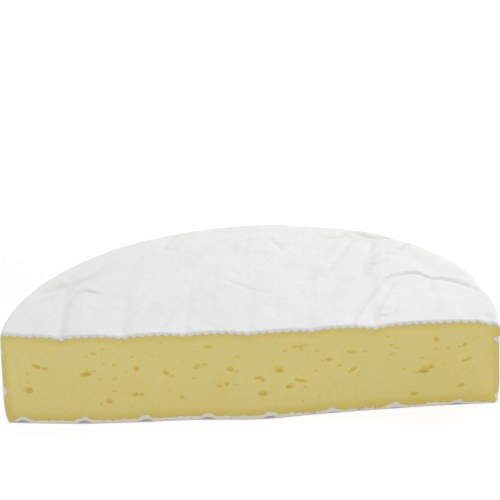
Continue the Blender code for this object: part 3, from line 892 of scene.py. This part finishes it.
def make_rind(material):
    dealt = list(in_layers(FOLDS + scattered_folds() + SWELLS))
    lines = {label: fold_object(label, [fold for layer, fold in dealt if layer == label])
             for label in FOLD_LAYERS}
    inputs = dict(wheel_inputs(material), **lines)
    tree, given = shape_tree("rind form", inputs)
    skin = wheel_form(tree, given, RIND_CELLS, 1.0, rind_inset(tree, given), RIND_PROUD)
    core = wheel_form(tree, given, CORE_CELLS, CORE_CROWDING, paste_inset(tree, 0.0), CORE_FRONT)
    shell = marked(tree, cut_away(tree, skin, core), CREASE_MARK, crease_mark(tree, given))
    finish_tree(tree, shell, given["Finish"])
    rind = grow("rind", tree, inputs)
    for helper in lines.values():
        bpy.data.objects.remove(helper, do_unlink=True)
    thin_hidden(rind)
    return rind


def make_paste(material):
    eyes = all_eyes()
    large = eye_object("large_eyes", [eye for eye in eyes if eye[2] >= LARGE_EYE_WIDTH])
    small = eye_object("small_eyes", [eye for eye in eyes if eye[2] < LARGE_EYE_WIDTH])
    inputs = dict(wheel_inputs(material), Large=large, Small=small)
    tree, given = shape_tree("paste form", inputs)
    body = wheel_form(tree, given, PASTE_CELLS, CORE_CROWDING, paste_inset(tree, PASTE_TUCK), 0.0)
    balls = tree.add("GeometryNodeJoinGeometry", {},
                     {0: [eye_balls(tree, given["Large"], 4), eye_balls(tree, given["Small"], 3)]})
    balls = tree.add("GeometryNodeMeshBoolean", {"operation": "UNION", "solver": "EXACT"},
                     {"Mesh 2": balls, "Self Intersection": True})
    body = cut_away(tree, body, balls)
    off_large, shade_large = off_eye(tree, given["Large"])
    off_small, shade_small = off_eye(tree, given["Small"])
    nearer = off_large < off_small
    # how much painted shade the nearer eye gets at each point
    shade = nearer * shade_large + (1 - nearer) * shade_small
    body = marked(tree, body, EYE_MARK, off_large.at_most(off_small))
    body = marked(tree, body, EYE_SHADE, shade)
    finish_tree(tree, body, given["Finish"])
    paste = grow("paste", tree, inputs)
    for helper in (large, small):
        bpy.data.objects.remove(helper, do_unlink=True)
    thin_hidden(paste)
    return paste


# ---- materials

def new_material(name):
    material = bpy.data.materials.new(name)
    material.use_nodes = True
    tree = Tree(material.node_tree)
    shader = material.node_tree.nodes["Principled BSDF"]
    return material, tree, shader


def cheese_place(tree):
    """A point of the finish: its place, X and Y from the axis, how far behind the cut, and height."""
    place = tree.add("ShaderNodeTexCoord", out="Object")
    x, y, z = place.parts()
    x = x - WHEEL_AXIS_X
    y = y - WHEEL_AXIS_Y
    return place, x, y, y + bow_at(x) + belly_at(x, z / WHEEL_HEIGHT), z


def stored(tree, mark):
    """A number that the piece's points hold."""
    return tree.add("ShaderNodeAttribute", {"attribute_name": mark}, out="Fac")


def bumped(tree, height):
    """A normal from a height in metres."""
    return tree.add("ShaderNodeBump", {}, {"Strength": 1.0, "Distance": 1.0, "Height": height})


RIND_WHITE = (0.885, 0.89, 0.88)
RIND_SHADE = (0.825, 0.83, 0.82)
# the rind's cut face: its own grey, darkened further as painted shade
RIND_EDGE = (0.655, 0.662, 0.648)
RIND_FOOT = (0.73, 0.69, 0.56)
# the bars' stains, and painted shade along the creases
RIND_STAIN_AND_CREASE_SHADE = (0.74, 0.74, 0.72)
BAR_STAINS = (0.0, 0.4, 0.15, 0.08, 0.08, 0.1, 0.22, 0.06, 0.1)  # how dark each bar's trace is
BAR_STAIN_HALF = 2.6 * MM


def rind_material():
    """White bloom: matt, faintly mottled, with painted shade along the creases of the top, partly for thinner
    bloom there, greyer where the knife has cut it, partly as painted shade of the cut face and the top's
    front edge, creamier near the base.
    """
    material, tree, shader = new_material("rind")
    place, along, y, behind, z = cheese_place(tree)
    mottle = tree.noise(place, 95.0, 3.0, 0.6) * 0.5 + tree.noise(place, 24.0, 1.0) * 0.35
    colour = tree.blend(mottle.eased(-0.45, 0.55), RIND_SHADE, RIND_WHITE)
    bars = over_bars(tree, along + mottle * (0.6 * MM), TOP_BAR_FROM, BAR_STAINS,
                     lambda far: far.hump(BAR_STAIN_HALF))
    stain = bars / MM * (1 - y.eased(46 * MM, 60 * MM))
    # painted shade along the creases, partly for the bloom that is thinner in them
    crease = stored(tree, CREASE_MARK).eased(0.05, 1.1) * 0.65
    colour = tree.blend(stain.at_least(crease), colour, RIND_STAIN_AND_CREASE_SHADE)
    ragged = tree.noise(place, 420.0, 2.0, 0.6)
    foot = (1 - (z + ragged * (1.5 * MM)).eased(1.5 * MM, 5.5 * MM)) * 0.7
    colour = tree.blend(foot, colour, RIND_FOOT)
    # greyer on the cut face and the top's front edge: the cut rind's own grey, partly painted shade
    edge = 1 - behind.eased(0.0, 1.5 * MM)
    low_edge = tree.blend(ragged.eased(-0.15, 0.3), RIND_FOOT, RIND_EDGE)
    colour = tree.blend(edge * 0.9, colour, tree.blend(z.eased(4 * MM, 8 * MM), low_edge, RIND_EDGE))
    velvet = tree.noise(place, 1500.0, 2.0, 0.7) * (0.020 * MM)
    pores = tree.noise(place, 420.0, 2.0, 0.55) * (0.045 * MM)
    crumple = tree.noise(place, 150.0, 2.0, 0.5, 0.5) * (0.07 * MM)
    tree.feed(shader, {
        "Base Color": colour,
        "Roughness": tree.noise(place, 300.0, 2.0) * 0.05 + 0.86,
        "Normal": bumped(tree, velvet + pores + crumple),
        "Specular IOR Level": 0.25,
        "Subsurface Weight": 0.12,
        "Subsurface Radius": (1.0, 0.9, 0.8),
        "Subsurface Scale": 1.2 * MM,
        "Sheen Weight": 0.08,
        "Sheen Roughness": 0.5,
    })
    return material


PASTE_PALE = (0.702, 0.610, 0.243)
PASTE_DEEP = (0.682, 0.578, 0.190)
PASTE_SPECK = (0.700, 0.570, 0.120)
# pale specks: the finest grain, partly painted glints
PASTE_GRAIN_AND_GLINT = (0.77, 0.70, 0.34)
PASTE_RIPE = (0.655, 0.522, 0.128)  # next to the rind
PASTE_LOW = (0.650, 0.512, 0.112)  # along the base: riper paste, and painted shade at its foot
EYE_STAIN = (0.650, 0.515, 0.074)  # about an eye
EYE_BROWN = (0.655, 0.460, 0.058)  # inside it: its own deeper yellow, partly painted shade of the hollow


def paste_material():
    """Khaki-yellow paste, riper next to the rind, darker along the base for riper paste and painted shade,
    deeper yellow inside its eyes with painted shade, most at their roofs.
    """
    material, tree, shader = new_material("paste")
    place, along, _y, behind, z = cheese_place(tree)
    cloud = tree.noise(place, 38.0, 2.0) * 0.5 + tree.noise(place, 180.0, 2.0, 0.6) * 0.3
    colour = tree.blend(cloud.eased(-0.45, 0.45), PASTE_DEEP, PASTE_PALE)
    fleck = tree.noise(place * (0.8, 1.0, 1.0), 900.0, 3.0, 0.85)
    colour = tree.blend(fleck.eased(-0.1, 0.35) * 0.7, colour, PASTE_SPECK)
    wander = tree.noise(place, 160.0, 2.0, 0.6) * (0.7 * MM)
    notches = over_bars(tree, along, TOP_BAR_FROM, [bar[0] for bar in TOP_BARS], notch)
    ceiling = WHEEL_HEIGHT - TOP_RIND - along / WHEEL_RADIUS * HEIGHT_LEAN - notches
    under_top = (1 - (ceiling - z + wander).eased(0.4 * MM, 4.2 * MM)) * 0.95
    under_side = (1 - (WHEEL_RADIUS - abs(along) + wander * 2).eased(0.5 * MM, 4.4 * MM)) * 0.95
    colour = tree.blend(under_top.at_least(under_side), colour, PASTE_RIPE)
    # darker along the base: partly riper paste, partly painted shade
    low = 1 - (z + wander).eased(2.5 * MM, 7.8 * MM)
    colour = tree.blend(low * 0.85, colour, PASTE_LOW)
    ragged = tree.noise(place, 1000.0, 2.0, 0.6)
    off = stored(tree, EYE_MARK) + ragged * 0.6
    shade = stored(tree, EYE_SHADE)
    smudge = tree.noise(place * (0.7, 1.0, 1.3), 330.0, 2.0, 0.6).eased(0.3, 0.6) * 0.5
    stain = (1 - off.eased(0.7, 1.6)) * 0.85
    colour = tree.blend(stain.at_least(smudge), colour, EYE_STAIN)
    # painted shade in the eyes' hollows, darkest at their roofs, over their own deeper yellow
    deep = 1 - (off - shade * 0.3 + 0.15).eased(0.3, 0.95)
    clump = tree.noise(place, 620.0, 2.0, 0.7).eased(-0.4, 0.1)
    colour = tree.blend(deep * (clump * 0.5 + 0.5), colour, EYE_BROWN)
    grain = tree.noise(place, 1100.0, 3.0, 0.65) * (0.012 * MM)
    pull = tree.noise(place * (0.25, 1.0, 1.0), 300.0, 2.0) * (0.02 * MM)
    # pale specks of the paste's finest grain, partly painted glints of its moist face
    speck = tree.noise(place, 2600.0, 1.0)
    colour = tree.blend(speck.eased(0.25, 0.6) * 0.15, colour, PASTE_GRAIN_AND_GLINT)
    tree.feed(shader, {
        "Base Color": colour,
        "Roughness": cloud * 0.08 + 0.52,
        "Normal": bumped(tree, grain + pull),
        "Specular IOR Level": 0.35,
        "Subsurface Weight": 0.35,
        "Subsurface Radius": (1.0, 0.75, 0.22),
        "Subsurface Scale": 2.2 * MM,
    })
    return material


# ---- light and view

LENS_PIXELS = 3000.0  # focal length in pixels of a picture 500 wide
PICTURE = 500
SENSOR = 36.0
VIEW_TARGET = (0.0, 40 * MM, 22 * MM)
VIEW_TARGET_AT = (252.306, 335.031)
VIEW_DISTANCE = 1480.47 * MM
VIEW_PITCH = 26.334
VIEW_YAW = -3.288
VIEW_ROLL = 3.855
FLOOR_REACH = 6.0
# the table's glow: painted light, not a lamp
FLOOR_GLOW = 0.42
FLOOR_FRONT = (1.0, 1.0, 1.2)
FLOOR_NEAR = (1.14, 1.15, 1.36)  # along the foot of the cut, where it paints out the cheese's shadow
FLOOR_NEAR_REACH = 30 * MM
FLOOR_BACK = (0.4, 0.4, 0.42)
# the faint glow left under the cheese, which lifts the shade in the base's grooves a little
FLOOR_UNDER = (0.15, 0.15, 0.15)
SKY = 0.57


def view_axes(pitch, yaw):
    """Forward, right and up of a camera looking down by pitch and turned by yaw, in degrees."""
    pitch = math.radians(pitch)
    yaw = math.radians(yaw)
    forward = Vector((math.sin(yaw) * math.cos(pitch), math.cos(yaw) * math.cos(pitch), -math.sin(pitch)))
    right = Vector((math.cos(yaw), -math.sin(yaw), 0.0))
    return forward, right, right.cross(forward)


def build_camera():
    forward, right, up = view_axes(VIEW_PITCH, VIEW_YAW)
    target = Vector(VIEW_TARGET) + Vector((WHEEL_AXIS_X, WHEEL_AXIS_Y, 0.0))
    place = target - forward * VIEW_DISTANCE
    roll = math.radians(VIEW_ROLL)
    # a point right*u + up*w before the camera lies at (c*u - s*w, -s*u - c*w) in the picture, y down
    cosine, sine = math.cos(roll), math.sin(roll)
    picture_x = right * cosine - up * sine
    picture_up = right * sine + up * cosine
    # turn the camera so that the target leaves the picture's middle for its own place
    off_x = (VIEW_TARGET_AT[0] - PICTURE / 2) / LENS_PIXELS
    off_up = (PICTURE / 2 - VIEW_TARGET_AT[1]) / LENS_PIXELS
    middle = (forward - picture_x * off_x - picture_up * off_up).normalized()
    side = (picture_x - middle * picture_x.dot(middle)).normalized()
    top = side.cross(middle)
    turn = Matrix((side, top, -middle)).transposed()
    data = bpy.data.cameras.new("camera")
    data.sensor_width = SENSOR
    data.lens = LENS_PIXELS / PICTURE * SENSOR
    data.clip_end = 20.0
    camera = new_object("camera", data)
    camera.matrix_world = Matrix.Translation(place) @ turn.to_4x4()
    bpy.context.scene.camera = camera


def build_floor():
    """A white table that glows faintly, and only a little under the cheese: painted light that fills the
    shadows round the cheese and lights it from below, most along the foot of the cut and least behind.
    """
    material, tree, shader = new_material("floor")
    _place, x, y, behind, _z = cheese_place(tree)
    covered = (behind > -0.3 * MM) * ((x * x + y * y).sqrt() < WHEEL_RADIUS)
    near = (1 - (-behind).eased(0.0, FLOOR_NEAR_REACH)) * (behind < 0.0)
    away = (x * 0.5 + y * 0.85).eased(-20 * MM, 60 * MM) * (1 - (x * x + y * y).sqrt().eased(0.2, 0.45))
    glow = tree.blend(near, tree.blend(away, FLOOR_FRONT, FLOOR_BACK), FLOOR_NEAR)
    tree.feed(shader, {
        "Base Color": (0.9, 0.9, 0.9, 1.0),
        "Roughness": 0.9,
        "Specular IOR Level": 0.0,
        "Emission Color": tree.blend(covered, glow, FLOOR_UNDER),
        "Emission Strength": FLOOR_GLOW,
    })
    mesh = bpy.data.meshes.new("floor")
    corners = [(x * FLOOR_REACH, y * FLOOR_REACH, 0) for x, y in ((-1, -1), (1, -1), (1, 1), (-1, 1))]
    mesh.from_pydata(corners, [], [(0, 1, 2, 3)])
    mesh.materials.append(material)
    new_object("floor", mesh)


def add_light(name, place, target, size, power):
    data = bpy.data.lights.new(name, "AREA")
    data.shape = "SQUARE"
    data.size = size
    data.energy = power
    light = new_object(name, data)
    direction = Vector(target) - Vector(place)
    light.matrix_world = Matrix.Translation(place) @ direction.to_track_quat("-Z", "Y").to_matrix().to_4x4()


def build_light():
    world = bpy.data.worlds.new("studio")
    bpy.context.scene.world = world
    world.use_nodes = True
    background = world.node_tree.nodes["Background"]
    background.inputs["Color"].default_value = (1.0, 1.0, 1.0, 1.0)
    background.inputs["Strength"].default_value = SKY
    add_light("overhead", (0.44, 0.32, 0.78), (0.0, 0.0, 0.0), 0.55, 4.3)
    add_light("front fill", (-0.6, -1.1, 0.95), (0.0, -0.05, 0.0), 1.0, 0.9)
    bpy.context.scene.view_settings.view_transform = "Standard"


def main():
    build_camera()
    rind = make_rind(rind_material())
    paste = make_paste(paste_material())
    for piece in (rind, paste):
        piece.data.shade_smooth()
        piece.data.set_sharp_from_angle(angle=math.radians(SHARP_ANGLE))
        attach(piece, BODY)
        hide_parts(NODE)
    build_floor()
    build_light()


main()
